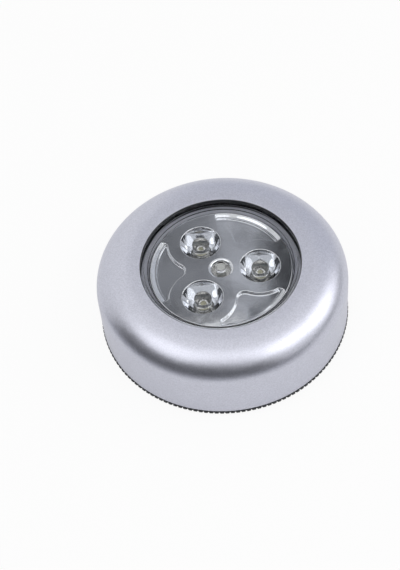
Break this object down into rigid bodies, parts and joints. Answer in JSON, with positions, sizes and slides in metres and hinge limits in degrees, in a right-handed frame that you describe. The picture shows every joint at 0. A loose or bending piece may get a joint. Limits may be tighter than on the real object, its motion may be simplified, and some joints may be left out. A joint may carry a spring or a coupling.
{
  "type": "puck light",
  "caption": "Round battery puck light with a silver dome housing, a clear press-to-switch cover over a bright reflector with LEDs, and a toothed twist-off base.",
  "frame": {"origin": "middle of the adhesive pad's lower face, on the surface that the light is stuck to", "axes": "+Z out of the clear cover, away from that surface; +X along the cells, right in the picture; -Y towards the viewer"},
  "size_m": [0.0702, 0.0702, 0.0225],
  "materials": {
    "silver_paint": "satin silver paint on moulded plastic",
    "clear_plastic": "clear, polished",
    "bright_metallising": "mirror-bright vacuum metallising on moulded plastic",
    "black_plastic": "moulded, satin",
    "white_plastic": "moulded",
    "foam": "closed-cell foam with adhesive faces",
    "green_board": "solder resist",
    "plated_steel": "nickel-plated",
    "cell_jacket": "plain jacket",
    "clear_epoxy": "clear, polished",
    "red_insulation": "insulation",
    "resistor_coat": "lacquer"
  },
  "bodies": {
    "base": {"base_cover": "black_plastic", "adhesive_pad": "foam"},
    "lamp": {"housing": "silver_paint", "battery_chassis": "black_plastic", "contact_positive": "plated_steel", "contact_bridge_front": "plated_steel", "contact_bridge_rear": "plated_steel", "contact_negative": "plated_steel", "aaa_cell_1": "cell_jacket", "aaa_cell_2": "cell_jacket", "aaa_cell_3": "cell_jacket", "battery_spring_1": "plated_steel", "battery_spring_2": "plated_steel", "battery_spring_3": "plated_steel", "circuit_board": "green_board", "led_1": "clear_epoxy", "led_2": "clear_epoxy", "led_3": "clear_epoxy", "resistor": "resistor_coat", "reflector": "bright_metallising", "switch_body": "black_plastic", "switch_cover": "plated_steel", "return_spring": "plated_steel", "wire_red": "red_insulation", "wire_black": "black_plastic", "chassis_screw_1": "plated_steel", "chassis_screw_2": "plated_steel", "chassis_screw_3": "plated_steel", "chassis_screw_4": "plated_steel"},
    "lens": {"lens_cover": "clear_plastic"},
    "plunger": {"switch_plunger": "white_plastic"}
  },
  "joints": [
    {"name": "twist_lock", "type": "hinge", "parent": "base", "child": "lamp", "pos_m": [0, 0, 0.0016], "axis": [0, 0, 1], "range_deg": [0, 24]},
    {"name": "lens_press", "type": "slide", "parent": "lamp", "child": "lens", "axis": [0, 0, -1], "range_m": [0, 0.00085], "stiffness_N_per_m": 2000, "springref_m": -0.0004},
    {"name": "plunger_press", "type": "slide", "parent": "lamp", "child": "plunger", "axis": [0, 0, -1], "range_m": [0, 0.00085], "deforming": ["return_spring"]}
  ],
  "couplings": [
    {"joint": "plunger_press", "follows": "lens_press", "ratio": 1}
  ]
}
